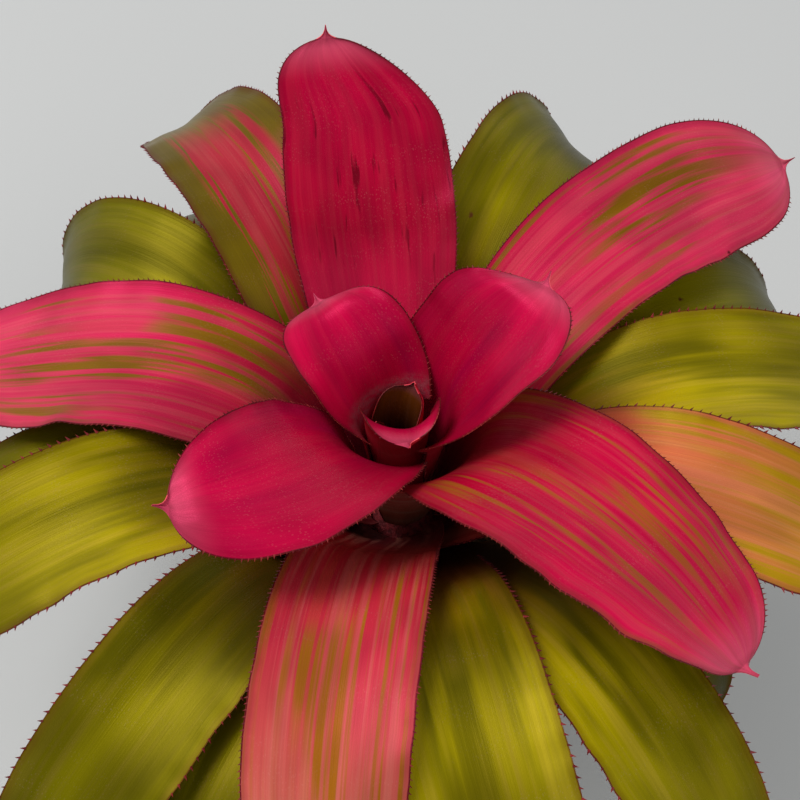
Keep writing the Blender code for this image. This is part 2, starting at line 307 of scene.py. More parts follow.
class Tree:
    """Adds nodes to a material or a node group. An input takes a socket or a plain value."""

    def __init__(self, tree):
        self.tree = tree

    def add(self, kind, **settings):
        node = self.tree.nodes.new(kind)
        for name, value in settings.items():
            setattr(node, name, value)
        return node

    def put(self, socket, value):
        if isinstance(value, bpy.types.NodeSocket):
            self.tree.links.new(value, socket)
        else:
            socket.default_value = value

    def math(self, operation, *values):
        node = self.add("ShaderNodeMath", operation=operation)
        for socket, value in zip(node.inputs, values):
            self.put(socket, value)
        return node.outputs[0]

    def step(self, value, low, high, start=0.0, end=1.0):
        """Goes smoothly from start to end as the value goes from low to high."""
        node = self.add("ShaderNodeMapRange", interpolation_type="SMOOTHSTEP")
        for socket, given in zip(node.inputs, (value, low, high, start, end)):
            self.put(socket, given)
        return node.outputs[0]

    def mix(self, share, first, second, blend="MIX"):
        node = self.add("ShaderNodeMix", data_type="RGBA", blend_type=blend)
        self.put(node.inputs["Factor"], share)
        self.put(node.inputs[6], first)
        self.put(node.inputs[7], second)
        return node.outputs[2]

    def stretch(self, vector, across, along):
        """The vector scaled so that one unit is `across` wide and `along` long."""
        size = self.add("ShaderNodeCombineXYZ")
        self.put(size.inputs[0], across)
        self.put(size.inputs[1], along)
        size.inputs[2].default_value = 1.0
        node = self.add("ShaderNodeVectorMath", operation="DIVIDE")
        self.put(node.inputs[0], vector)
        self.put(node.inputs[1], size.outputs[0])
        return node.outputs[0]

    def noise(self, vector, scale=1.0, detail=2.0, roughness=0.5):
        node = self.add("ShaderNodeTexNoise")
        self.put(node.inputs["Vector"], vector)
        self.put(node.inputs["Scale"], scale)
        node.inputs["Detail"].default_value = detail
        node.inputs["Roughness"].default_value = roughness
        return node.outputs["Fac"]

    def cells(self, vector, scale):
        node = self.add("ShaderNodeTexVoronoi")
        self.put(node.inputs["Vector"], vector)
        self.put(node.inputs["Scale"], scale)
        return node.outputs["Distance"], node.outputs["Color"]

    def split(self, vector):
        node = self.add("ShaderNodeSeparateXYZ")
        self.put(node.inputs[0], vector)
        return node.outputs

    def attribute(self, name):
        return self.add("ShaderNodeAttribute", attribute_name=name)

    def ramp(self, value, stops):
        node = self.add("ShaderNodeValToRGB")
        elements = node.color_ramp.elements
        while len(elements) < len(stops):
            elements.new(0.5)
        for element, (place, colour) in zip(elements, stops):
            element.position = place
            element.color = (*colour, 1.0)
        self.put(node.inputs[0], value)
        return node.outputs[0]

    def group(self, name, **values):
        """Places a node group and gives its inputs their values."""
        node = self.add("ShaderNodeGroup", node_tree=bpy.data.node_groups[name])
        for socket, value in values.items():
            self.put(node.inputs[socket], value)
        return node.outputs


def new_group(name, vector, floats, outputs):
    """An empty node group with one vector input, more inputs that take floats, and float outputs."""
    made = bpy.data.node_groups.new(name, "ShaderNodeTree")
    made.interface.new_socket(vector, in_out="INPUT", socket_type="NodeSocketVector")
    for way, sockets in (("INPUT", floats), ("OUTPUT", outputs)):
        for socket in sockets:
            made.interface.new_socket(socket, in_out=way, socket_type="NodeSocketFloat")
    tree = Tree(made)
    return tree, tree.add("NodeGroupInput").outputs, tree.add("NodeGroupOutput").inputs


# The leaves' groups take Flow, which runs across and along the leaf, and sizes, all in units of 10 cm.


def make_streaks_group():
    """Long soft-edged streaks that run along the leaf. Amount is the share of the leaf that they cover."""
    tree, given, out = new_group("streaks", "Flow", ["Width", "Length", "Amount", "Edge"], ["Mask"])
    wavy = tree.noise(tree.stretch(given["Flow"], given["Width"], given["Length"]), 1.0, 2.5, 0.6)
    bar = tree.math("MULTIPLY_ADD", given["Amount"], -NOISE_SPREAD, NOISE_TOP)
    low = tree.math("SUBTRACT", bar, given["Edge"])
    high = tree.math("ADD", bar, given["Edge"])
    tree.put(out["Mask"], tree.step(wavy, low, high))


def make_veins_group():
    """The fine parallel veins, as a value round a half."""
    tree, given, out = new_group("veins", "Flow", [], ["Value"])
    fine = tree.noise(tree.stretch(given["Flow"], 0.006, 0.9), 1.0, 3.0, 0.65)
    broad = tree.noise(tree.stretch(given["Flow"], 0.03, 1.6), 1.0, 1.0)
    fine_part = tree.math("MULTIPLY", fine, FINE_VEIN_SHARE)
    broad_part = tree.math("MULTIPLY", broad, 1.0 - FINE_VEIN_SHARE)
    tree.put(out["Value"], tree.math("ADD", fine_part, broad_part))


def make_mottle_group():
    """Soft patches a few centimetres long."""
    tree, given, out = new_group("mottle", "Flow", ["Size"], ["Value"])
    length = tree.math("MULTIPLY", given["Size"], PATCH_LENGTH_PER_WIDTH)
    patches = tree.noise(tree.stretch(given["Flow"], given["Size"], length), 1.0, 2.0, 0.55)
    tree.put(out["Value"], tree.step(patches, 0.34, 0.66))


def make_scurf_group():
    """Tiny pale scales, in loose cross bands."""
    tree, given, out = new_group("scurf", "Flow", ["Amount"], ["Mask"])
    distance, _ = tree.cells(tree.stretch(given["Flow"], 0.009, 0.013), 1.0)
    dots = tree.step(distance, 0.16, 0.34, 1.0, 0.0)
    bands = tree.noise(tree.stretch(given["Flow"], 0.5, 0.13), 1.0, 3.0, 0.6)
    chosen = tree.step(bands, 0.42, 0.68)
    tree.put(out["Mask"], tree.math("MULTIPLY", tree.math("MULTIPLY", dots, chosen), given["Amount"]))


def make_spots_group():
    """A few small dark marks."""
    tree, given, out = new_group("spots", "Flow", ["Amount"], ["Mask"])
    distance, colour = tree.cells(tree.stretch(given["Flow"], 0.16, 0.2), 1.0)
    lucky = tree.split(colour)[0]
    wobble = tree.math("MULTIPLY", tree.noise(given["Flow"], 60.0, 2.0), 0.09)
    dots = tree.step(tree.math("ADD", distance, wobble), 0.07, 0.13, 1.0, 0.0)
    chosen = tree.math("LESS_THAN", lucky, given["Amount"])
    tree.put(out["Mask"], tree.math("MULTIPLY", dots, chosen))


def make_margin_group():
    """The dark line along the margin. Distance and Width are in millimetres."""
    tree, given, out = new_group("margin", "Flow", ["Distance", "Width"], ["Mask"])
    wobble = tree.noise(tree.stretch(given["Flow"], 1.0, 0.07), 1.0, 2.0)
    width = tree.math("MULTIPLY", given["Width"], tree.math("ADD", wobble, 0.5))
    share = tree.math("DIVIDE", given["Distance"], width)
    tree.put(out["Mask"], tree.step(share, 0.35, 1.25, 1.0, 0.0))


def make_grain_group():
    """The moulded grain, scuffs and dust of a plastic pot, from Object coordinates in metres."""
    tree, given, out = new_group("grain", "Place", [], ["Grain", "Scuffs", "Dust"])
    tree.put(out["Grain"], tree.noise(given["Place"], 2600.0, 3.0, 0.6))
    broad = tree.noise(given["Place"], 26.0, 4.0, 0.6)
    fine = tree.noise(given["Place"], 340.0, 3.0, 0.7)
    tree.put(out["Scuffs"], tree.step(tree.math("MULTIPLY", broad, fine), 0.27, 0.36))
    tree.put(out["Dust"], tree.step(tree.noise(given["Place"], 55.0, 5.0, 0.7), 0.42, 0.72))


# Materials

# A leaf's streaks: their colour, the share of the leaf that they cover, their width and length in units of
# 10 cm, and the softness of their edges
Streaks = namedtuple("Streaks", "colour share width length edge")

MAROON = (0.060, 0.002, 0.004)
OLIVE_STREAK = (0.240, 0.115, 0.001)
PINK_GLINT = (1.0, 0.06, 0.22)
GREEN_GLINT = (1.0, 0.78, 0.05)

# A leaf's upper side: its colours from the foot to the end, its streaks, how strong the pale streaks are,
# what its dark patches are multiplied by, its roughness, the colour beside a pink centre, the colour of the
# margin's line, the tint of its gloss, the width of its patches, how strongly a painted highlight lightens
# its tip, and where its tide mark starts and stops
Finish = namedtuple(
    "Finish",
    "foot base middle end streaks pale shade rough centre edge glint patch pale_tip tide",
    defaults=(None, MAROON, PINK_GLINT, 0.22, 0.30, None),
)

FINISHES = {
    "bud": Finish(
        foot=(0.02, 0.001, 0.001),
        base=(0.020, 0.001, 0.001),
        middle=(0.035, 0.003, 0.002),
        end=(0.23, 0.055, 0.006),
        streaks=Streaks((0.14, 0.020, 0.004), share=0.35, width=0.05, length=0.5, edge=0.06),
        pale=0.1,
        shade=0.6,
        rough=0.34,
    ),
    "crimson": Finish(
        foot=(0.08, 0.001, 0.008),
        base=(0.34, 0.001, 0.024),
        middle=(0.54, 0.001, 0.034),
        end=(0.66, 0.002, 0.055),
        streaks=Streaks((0.44, 0.001, 0.044), share=0.35, width=0.14, length=1.2, edge=0.16),
        pale=0.04,
        shade=0.76,
        rough=0.30,
    ),
    "streaked": Finish(
        foot=(0.12, 0.003, 0.010),
        base=(0.80, 0.014, 0.075),
        middle=(0.36, 0.001, 0.018),
        end=(0.56, 0.001, 0.036),
        streaks=Streaks((0.16, 0.001, 0.006), share=0.12, width=0.034, length=0.30, edge=0.05),
        pale=0.07,
        shade=0.70,
        rough=0.33,
    ),
    "hot_pink": Finish(
        foot=(0.08, 0.002, 0.006),
        base=(0.40, 0.002, 0.014),
        middle=(0.60, 0.001, 0.042),
        end=(0.66, 0.004, 0.060),
        streaks=Streaks((0.42, 0.095, 0.012), share=0.42, width=0.045, length=1.2, edge=0.07),
        pale=0.20,
        shade=0.74,
        rough=0.31,
    ),
    "banded": Finish(
        foot=(0.10, 0.004, 0.006),
        base=(0.50, 0.010, 0.032),
        middle=(0.66, 0.014, 0.070),
        end=(0.74, 0.040, 0.100),
        streaks=Streaks(OLIVE_STREAK, share=0.46, width=0.050, length=1.1, edge=0.06),
        pale=0.32,
        shade=0.72,
        rough=0.33,
    ),
    "fine_striped": Finish(
        foot=(0.10, 0.004, 0.006),
        base=(0.46, 0.006, 0.012),
        middle=(0.66, 0.030, 0.056),
        end=(0.62, 0.170, 0.095),
        streaks=Streaks((0.40, 0.135, 0.004), share=0.38, width=0.030, length=1.8, edge=0.08),
        pale=0.65,
        shade=0.72,
        rough=0.34,
    ),
    "pink_centred": Finish(
        foot=(0.10, 0.010, 0.004),
        base=(0.44, 0.022, 0.024),
        middle=(0.48, 0.022, 0.040),
        end=(0.46, 0.030, 0.040),
        streaks=Streaks(OLIVE_STREAK, share=0.40, width=0.040, length=1.2, edge=0.05),
        pale=0.30,
        shade=0.72,
        rough=0.34,
        centre=(0.160, 0.110, 0.001),
    ),
    "golden": Finish(
        foot=(0.14, 0.010, 0.005),
        base=(0.66, 0.040, 0.040),
        middle=(0.64, 0.120, 0.060),
        end=(0.30, 0.165, 0.002),
        streaks=Streaks((0.34, 0.185, 0.003), share=0.44, width=0.035, length=1.4, edge=0.08),
        pale=0.45,
        shade=0.70,
        rough=0.34,
        glint=GREEN_GLINT,
        pale_tip=0.0,
    ),
    "olive": Finish(
        foot=(0.14, 0.020, 0.003),
        base=(0.25, 0.085, 0.002),
        middle=(0.46, 0.350, 0.001),
        end=(0.10, 0.092, 0.001),
        streaks=Streaks((0.18, 0.145, 0.001), share=0.48, width=0.085, length=1.2, edge=0.14),
        pale=0.16,
        shade=0.34,
        rough=0.36,
        edge=(0.060, 0.014, 0.003),
        glint=GREEN_GLINT,
        patch=0.48,
        pale_tip=0.0,
    ),
}
FINISHES["tide_marked"] = FINISHES["crimson"]._replace(tide=(0.45, 0.58))
BLACK = (0.0, 0.0, 0.0, 1.0)
# Painted highlight: the pale pink that the last tenth of a pink leaf's tip is mixed towards
PAINTED_TIP_HIGHLIGHT = (0.90, 0.22, 0.34, 1.0)
PALE_STREAK = (0.85, 0.30, 0.20, 1.0)
TIDE_COLOUR = (0.34, 0.09, 0.11, 1.0)
DEEP_GREEN = (0.36, 0.42, 0.45, 1.0)
SCURF_COLOUR = (0.66, 0.36, 0.32, 1.0)
SPOT_COLOUR = (0.05, 0.004, 0.006, 1.0)
SPINE_COLOUR = (0.62, 0.060, 0.080, 1.0)

# How much of a leaf its scurf and spots take, and how far in from the margin its lines reach, in millimetres
SCURF_AMOUNT = 0.045
SPOT_AMOUNT = 0.03
BLUSH_WIDTH = 3.2
MARGIN_LINE_WIDTH = 0.6
UNDERSIDE_LINE_WIDTH = 0.9

# The leaves' undersides: their colour, the colour of their foot, how scurfy they are and their gloss
Underside = namedtuple("Underside", "colour foot scurfy glint")
UNDERSIDES = {
    "heart": Underside((0.52, 0.002, 0.022), (0.24, 0.03, 0.02), 0.15, PINK_GLINT),
    "red": Underside((0.38, 0.020, 0.024), (0.22, 0.09, 0.04), 0.7, PINK_GLINT),
    "green": Underside((0.185, 0.160, 0.012), (0.24, 0.13, 0.04), 1.0, GREEN_GLINT),
}
UNDERSIDE_OF = {
    "golden": "green",
    "olive": "green",
    "crimson": "heart",
    "bud": "heart",
    "tide_marked": "heart",
}
UNDERSIDE_SCURF = 0.5
UNDERSIDE_BAND = (0.36, 0.33, 0.25, 1.0)
UNDERSIDE_DUST = (0.48, 0.45, 0.37, 1.0)
UNDERSIDE_SHADE = (0.02, 0.02, 0.004, 1.0)

# What lies in the pot: its dark and light patches, its flecks, how many patches there are to a metre, and
# its roughness
Crumb = namedtuple("Crumb", "dark light fleck scale rough")
CRUMBS = {
    "mix_soil": Crumb((0.012, 0.007, 0.004), (0.050, 0.028, 0.015), (0.085, 0.055, 0.032), 300.0, 0.95),
    "bark": Crumb((0.030, 0.013, 0.006), (0.120, 0.058, 0.026), (0.200, 0.120, 0.065), 420.0, 0.9),
    "perlite": Crumb((0.42, 0.41, 0.38), (0.70, 0.69, 0.66), (0.30, 0.27, 0.22), 700.0, 0.95),
    "coir": Crumb((0.070, 0.034, 0.015), (0.160, 0.085, 0.040), (0.22, 0.14, 0.07), 600.0, 0.9),
}


def new_material(name, **constants):
    """A material with one Principled shader, whose plain values are given by socket name."""
    made = bpy.data.materials.new(name)
    made.use_nodes = True
    shader = made.node_tree.nodes["Principled BSDF"]
    for socket, value in constants.items():
        shader.inputs[socket.replace("_", " ")].default_value = value
    return made, Tree(made.node_tree), shader


def finish_surface(tree, shader, colour, rough, height, depth):
    """Feeds the shader its colour, roughness and a bump of this depth."""
    bump = tree.add("ShaderNodeBump")
    bump.inputs["Strength"].default_value = 1.0
    bump.inputs["Distance"].default_value = depth
    tree.put(bump.inputs["Height"], height)
    tree.put(shader.inputs["Base Color"], colour)
    tree.put(shader.inputs["Roughness"], rough)
    tree.put(shader.inputs["Normal"], bump.outputs["Normal"])


def leaf_colour(tree, finish, flow, across, along, tone):
    """The upper side's colour, before its margin, marks and scurf."""
    stops = [(0.10, finish.foot), (0.30, finish.base), (0.58, finish.middle), (0.93, finish.end)]
    colour = tree.ramp(along, stops)
    # A painted highlight lightens the tip
    colour = tree.mix(tree.step(along, 0.91, 1.0, 0.0, finish.pale_tip), colour, PAINTED_TIP_HIGHLIGHT)
    pale = tree.mix(0.30, colour, PALE_STREAK)
    pale_streaks = tree.group("streaks", Flow=flow, Width=0.03, Length=1.3, Amount=0.45, Edge=0.10)["Mask"]
    colour = tree.mix(tree.math("MULTIPLY", pale_streaks, finish.pale), colour, pale)
    given = finish.streaks
    streaks = tree.group(
        "streaks", Flow=flow, Width=given.width, Length=given.length, Amount=given.share, Edge=given.edge
    )["Mask"]
    window = tree.math("MULTIPLY", tree.step(along, 0.22, 0.42), tree.step(along, 0.80, 0.98, 1.0, 0.15))
    zones = tree.step(tree.noise(tree.stretch(flow, 0.30, 0.8), 1.0, 2.0), 0.38, 0.54, 0.15, 1.0)
    window = tree.math("MULTIPLY", window, zones)
    colour = tree.mix(tree.math("MULTIPLY", streaks, window), colour, (*given.colour, 1.0))
    if finish.centre:
        side = tree.math("ADD", across, tree.math("MULTIPLY", streaks, 0.25))
        outer = tree.math("MAXIMUM", tree.step(side, 0.52, 0.68), tree.step(along, 0.72, 0.9))
        colour = tree.mix(outer, colour, (*finish.centre, 1.0))
    if finish.tide:
        low, high = finish.tide
        below = tree.step(along, low, low + 0.03)
        above = tree.step(along, high - 0.05, high, 1.0, 0.0)
        worn = tree.step(tree.noise(tree.stretch(flow, 0.03, 0.02), 1.0, 5.0, 0.75), 0.36, 0.62, 0.1, 0.6)
        mark = tree.math("MULTIPLY", tree.math("MULTIPLY", below, above), worn)
        colour = tree.mix(mark, colour, TIDE_COLOUR)
    mottle = tree.group("mottle", Flow=flow, Size=finish.patch)["Value"]
    shaded = tree.mix(1.0, colour, (finish.shade, finish.shade, finish.shade, 1.0), "MULTIPLY")
    colour = tree.mix(mottle, shaded, colour)
    return tree.mix(tone, colour, tree.mix(1.0, colour, DEEP_GREEN, "MULTIPLY"))


def make_leaf_material(name, finish):
    """A glossy leaf's upper side."""
    made, tree, shader = new_material(name, Specular_IOR_Level=0.30, Specular_Tint=(*finish.glint, 1.0))
    flow = tree.attribute("flow").outputs["Vector"]
    place = tree.split(tree.attribute("place").outputs["Vector"])
    tone = tree.attribute("tone").outputs["Fac"]
    across = tree.math("ABSOLUTE", place[0])
    colour = leaf_colour(tree, finish, flow, across, place[1], tone)
    veins = tree.group("veins", Flow=flow)["Value"]
    lined = tree.mix(tree.step(veins, 0.30, 0.70, 0.0, 0.28), colour, tree.mix(0.5, colour, BLACK))
    scurf = tree.group("scurf", Flow=flow, Amount=SCURF_AMOUNT)["Mask"]
    spotted = tree.mix(scurf, lined, SCURF_COLOUR)
    spots = tree.group("spots", Flow=flow, Amount=SPOT_AMOUNT)["Mask"]
    spotted = tree.mix(spots, spotted, SPOT_COLOUR)
    blush = tree.group("margin", Flow=flow, Distance=place[2], Width=BLUSH_WIDTH)["Mask"]
    blushed = tree.mix(0.30, spotted, (*finish.edge, 1.0))
    edged = tree.mix(blush, spotted, blushed)
    line = tree.group("margin", Flow=flow, Distance=place[2], Width=MARGIN_LINE_WIDTH)["Mask"]
    edged = tree.mix(line, edged, (*finish.edge, 1.0))
    rough = tree.math("ADD", finish.rough - 0.06, tree.math("MULTIPLY", veins, 0.14))
    height = tree.math("ADD", veins, tree.math("MULTIPLY", scurf, 0.5))
    finish_surface(tree, shader, edged, rough, height, 0.16 * MM)
    return made


def make_underside_material(name, side):
    """A leaf's underside: duller, and banded with grey scurf."""
    made, tree, shader = new_material(name, Specular_IOR_Level=0.35, Specular_Tint=(*side.glint, 1.0))
    flow = tree.attribute("flow").outputs["Vector"]
    place = tree.split(tree.attribute("place").outputs["Vector"])
    end = tuple(0.85 * part for part in side.colour)
    body = tree.ramp(place[1], [(0.04, side.foot), (0.30, side.colour), (0.95, end)])
    mottle = tree.group("mottle", Flow=flow, Size=0.16)["Value"]
    body = tree.mix(tree.math("MULTIPLY", mottle, 0.45), body, tree.mix(0.6, body, UNDERSIDE_SHADE))
    bands = tree.noise(tree.stretch(flow, 0.9, 0.05), 1.0, 4.0, 0.65)
    banded = tree.mix(tree.step(bands, 0.44, 0.70, 0.0, 0.42 * side.scurfy), body, UNDERSIDE_BAND)
    scurf = tree.group("scurf", Flow=flow, Amount=UNDERSIDE_SCURF * side.scurfy)["Mask"]
    dusted = tree.mix(scurf, banded, UNDERSIDE_DUST)
    line = tree.group("margin", Flow=flow, Distance=place[2], Width=UNDERSIDE_LINE_WIDTH)["Mask"]
    edged = tree.mix(line, dusted, (*MAROON, 1.0))
    veins = tree.group("veins", Flow=flow)["Value"]
    rough = tree.math("ADD", 0.40, tree.math("MULTIPLY", bands, 0.25))
    height = tree.math("ADD", veins, tree.math("MULTIPLY", scurf, 0.6))
    finish_surface(tree, shader, edged, rough, height, 0.2 * MM)
    return made


def make_margin_material():
    """The horny margin with its teeth and the tip's spine."""
    made, tree, shader = new_material("leaf_margin", Specular_IOR_Level=0.2)
    edge = tree.split(tree.attribute("place").outputs["Vector"])[2]
    where = tree.add("ShaderNodeTexCoord").outputs["Object"]
    worn = tree.noise(where, 900.0, 3.0, 0.6)
    patches = tree.noise(where, 120.0, 2.0)
    colour = tree.mix(tree.step(patches, 0.40, 0.65), (0.080, 0.003, 0.005, 1.0), (0.20, 0.016, 0.016, 1.0))
    colour = tree.mix(tree.step(worn, 0.58, 0.75, 0.0, 0.4), colour, (0.22, 0.07, 0.03, 1.0))
    colour = tree.mix(tree.step(edge, 1.5, 3.0), colour, SPINE_COLOUR)
    finish_surface(tree, shader, colour, tree.step(worn, 0.3, 0.7, 0.30, 0.5), worn, 0.1 * MM)
    return made


def make_pot_material():
    """Moulded near-black plastic, scuffed and dusty."""
    made, tree, shader = new_material("pot_plastic", Specular_IOR_Level=0.45)
    where = tree.add("ShaderNodeTexCoord").outputs["Object"]
    marks = tree.group("grain", Place=where)
    height_share = tree.math("DIVIDE", tree.split(where)[2], box("pot")[1].z)
    splash = tree.math("MULTIPLY", marks["Dust"], tree.step(height_share, 0.02, 0.34, 0.75, 0.22))
    colour = tree.mix(marks["Scuffs"], (0.016, 0.017, 0.018, 1.0), (0.060, 0.060, 0.058, 1.0))
    colour = tree.mix(splash, colour, (0.120, 0.100, 0.078, 1.0))
    worn = tree.math("ADD", tree.math("MULTIPLY", marks["Scuffs"], 0.16), tree.math("MULTIPLY", splash, 0.3))
    rough = tree.math("ADD", worn, 0.36)
    height = tree.math("ADD", marks["Grain"], tree.math("MULTIPLY", marks["Dust"], 0.4))
    finish_surface(tree, shader, colour, rough, height, 0.10 * MM)
    return made


def make_crumb_material(name, crumb):
    """Soil, bark, perlite or coir: coarse patches with pits and flecks."""
    made, tree, shader = new_material(name, Specular_IOR_Level=0.25)
    where = tree.add("ShaderNodeTexCoord").outputs["Object"]
    patches = tree.noise(where, crumb.scale, 5.0, 0.65)
    pits = tree.noise(where, 6.0 * crumb.scale, 3.0, 0.7)
    colour = tree.mix(tree.step(patches, 0.36, 0.64), (*crumb.dark, 1.0), (*crumb.light, 1.0))
    colour = tree.mix(tree.step(pits, 0.56, 0.74), colour, (*crumb.fleck, 1.0))
    rough = tree.step(pits, 0.2, 0.8, crumb.rough - 0.1, crumb.rough)
    height = tree.math("ADD", patches, tree.math("MULTIPLY", pits, 0.6))
    finish_surface(tree, shader, colour, rough, height, 0.6 * MM)
    return made


def make_stem_material():
    """Fibrous stem tissue: crimson where it meets the young leaves, brown and papery below."""
    made, tree, shader = new_material("stem_tissue", Specular_IOR_Level=0.35)
    where = tree.add("ShaderNodeTexCoord").outputs["Object"]
    height = tree.split(where)[2]
    fibres = tree.noise(tree.stretch(where, 0.0008, 0.0008), 1.0, 3.0, 0.6)
    rings = tree.noise(where, 420.0, 4.0, 0.6)
    brown = tree.mix(tree.step(rings, 0.35, 0.65), (0.060, 0.030, 0.014, 1.0), (0.200, 0.115, 0.055, 1.0))
    young = tree.mix(tree.step(rings, 0.35, 0.65), (0.070, 0.004, 0.006, 1.0), (0.180, 0.014, 0.018, 1.0))
    colour = tree.mix(tree.step(height, STEM_BROWN_BELOW, STEM_RED_ABOVE), brown, young)
    rough_height = tree.math("ADD", fibres, rings)
    finish_surface(tree, shader, colour, tree.step(fibres, 0.2, 0.8, 0.5, 0.75), rough_height, 0.4 * MM)
    return made


def make_stage_material(name, dark, light):
    """Plain pale paper."""
    made, tree, shader = new_material(name, Specular_IOR_Level=0.1, Roughness=0.9)
    where = tree.add("ShaderNodeTexCoord").outputs["Object"]
    tree.put(shader.inputs["Base Color"], tree.mix(tree.noise(where, 0.8, 1.0), dark, light))
    return made


# Leaf form


def ease(low, high, value):
    """Goes smoothly from 0 at low to 1 at high."""
    share = min(max((value - low) / (high - low), 0.0), 1.0)
    return share * share * (3.0 - 2.0 * share)


def slope(leaf, blade):
    """The centreline's slope in radians, where blade is 0 at the top of the sheath and 1 at the tip."""
    rest = 1.0 - blade
    degrees = rest * rest * leaf.rise + 2.0 * blade * rest * leaf.spread + blade * blade * leaf.droop
    return math.radians(degrees)


def heading(leaf, order, blade):
    """The centreline's direction round the plant, in radians."""
    degrees = FIRST_AZIMUTH + SPIRAL_STEP * order + leaf.turn + leaf.sway * blade * blade
    return math.radians(degrees)


def blade_share(leaf, along):
    """How far along the blade a point of the whole leaf is."""
    return max(0.0, (along - leaf.sheath) / (1.0 - leaf.sheath))


def direction(leaf, order, blade):
    """The way that the centreline runs."""
    tilt, azimuth = slope(leaf, blade), heading(leaf, order, blade)
    flat = math.cos(tilt)
    return Vector((flat * math.cos(azimuth), flat * math.sin(azimuth), math.sin(tilt)))


def centreline(leaf, order):
    """Points at even steps from the leaf's start to its tip."""
    age = order / (len(LEAVES) - 1)
    radius = TOP_LEAF_RADIUS + (LEAF_THICKNESS + SHEATH_GAP) * order
    above_rim = TOP_LEAF_ABOVE_RIM + (LOW_LEAF_ABOVE_RIM - TOP_LEAF_ABOVE_RIM) * age
    height = box("pot")[1].z + above_rim
    azimuth = heading(leaf, order, 0.0)
    points = [Vector((radius * math.cos(azimuth), radius * math.sin(azimuth), height))]
    step = leaf.length * MM / CENTRELINE_STEPS
    for index in range(CENTRELINE_STEPS):
        blade = blade_share(leaf, (index + 0.5) / CENTRELINE_STEPS)
        points.append(points[-1] + step * direction(leaf, order, blade))
    return points


def centre_at(points, along):
    """The centreline's point at a share of its length."""
    place = along * CENTRELINE_STEPS
    index = min(int(place), CENTRELINE_STEPS - 1)
    return points[index].lerp(points[index + 1], place - index)


def half_width(leaf, along):
    """Half the leaf's width, measured along its curved surface."""
    half = 0.5 * leaf.width * MM
    tip = max(0.0, (along - WIDEST_SHARE) / (1.0 - WIDEST_SHARE))
    rounded = half * math.sqrt(max(0.0, 1.0 - tip**leaf.square))
    widened = ease(leaf.sheath * NECK_SHARE, WIDEST_SHARE, along)
    body = half * (leaf.neck + (1.0 - leaf.neck) * widened)
    return min(body, rounded)


# One cross section of a leaf: its share of the length, how far past the blade's end it is on the spine, its
# centre, its own axes, its curvature and its half width
Row = namedtuple("Row", "along beyond centre side up bend half")


def make_row(leaf, order, points, along, beyond):
    """The leaf's cross section at a share of its length, or beyond it on the spine."""
    centre = centre_at(points, along)
    blade = blade_share(leaf, along)
    tilt, azimuth = slope(leaf, blade), heading(leaf, order, blade)
    radius = max(math.hypot(centre.x, centre.y), TIGHTEST_RADIUS)
    hug = math.sin(tilt) / radius
    width = leaf.width * MM
    fold = (math.radians(leaf.channel) + math.radians(leaf.beak) * ease(BEAK_SHARE, 1.0, along)) / width
    opened = ease(0.0, OPENED_SHARE, blade)
    bend = max((1.0 - opened) * hug + opened * fold, FLATTEST_BEND)
    half = half_width(leaf, along)
    if blade < FREED_SHARE:
        wrapped = math.radians(leaf.wrap / 2) / hug
        half = min(half, wrapped + ease(0.0, FREED_SHARE, blade) * width)
    sideways = Vector((-math.sin(azimuth), math.cos(azimuth), 0.0))
    rise = math.sin(tilt)
    upward = Vector((-rise * math.cos(azimuth), -rise * math.sin(azimuth), math.cos(tilt)))
    twist = math.radians(leaf.roll) * ease(0.0, 1.0, blade)
    side = sideways * math.cos(twist) + upward * math.sin(twist)
    up = upward * math.cos(twist) - sideways * math.sin(twist)
    centre = centre + leaf.skew * MM * ease(SKEW_SHARE, 1.0, along) * side
    if beyond > 0.0:
        fade = math.exp(-beyond / SPINE_FADE)
        taper = 1.0 - SPINE_TAPER * beyond / SPINE_LENGTH
        half = (SPINE_HALF + (BLADE_END_HALF - SPINE_HALF) * fade) * taper
        curl = SPINE_CURL * beyond * beyond / SPINE_LENGTH
        centre = centre + beyond * direction(leaf, order, 1.0) + curl * up
    return Row(along, beyond, centre, side, up, bend, half)


def margin_distance(leaf, row, across):
    """How far a point is from the nearest edge of the blade."""
    if row.beyond > 0.0:
        return SPINE_EDGE
    to_side = (1.0 - abs(across)) * row.half
    to_tip = (1.0 - row.along) * leaf.length * MM + TIP_ROUNDING
    return min(to_side, to_tip)


def surface_point(leaf, order, row, across):
    """A point of the leaf's middle surface; across runs from -1 to 1."""
    angle = row.bend * across * row.half
    sideways = row.side * (math.sin(angle) / row.bend)
    point = row.centre + sideways + row.up * ((1.0 - math.cos(angle)) / row.bend)
    normal = row.up * math.cos(angle) - row.side * math.sin(angle)
    blade = blade_share(leaf, row.along)
    edge = margin_distance(leaf, row, across) if row.beyond == 0.0 else 0.0
    rolled = 1.0 - ease(0.0, FLARE_REACH, edge)
    shift = -leaf.flare * MM * rolled * rolled * ease(*FLARE_SHARES, blade)
    free = ease(*SWELL_SHARES, blade)
    place = Vector((across * SWELLS_ACROSS, row.along * leaf.length / SWELL_PITCH, NOISE_APART * order))
    shift += SWELL * free * noise.noise(place)
    place.y *= RIPPLES_PER_SWELL
    shift += RIPPLE * free * abs(across) ** 3 * noise.noise(place)
    foot = 1.0 - ease(0.0, FOOT_REACH, row.along * leaf.length * MM)
    inward = Vector((-point.x, -point.y, 0.0)).normalized()
    return point + shift * normal + FOOT_PULL * foot * inward


def short_share(leaf):
    """How big a leaf's spine and teeth are, next to a long leaf's."""
    return min(1.0, leaf.length / SHORT_LEAF)


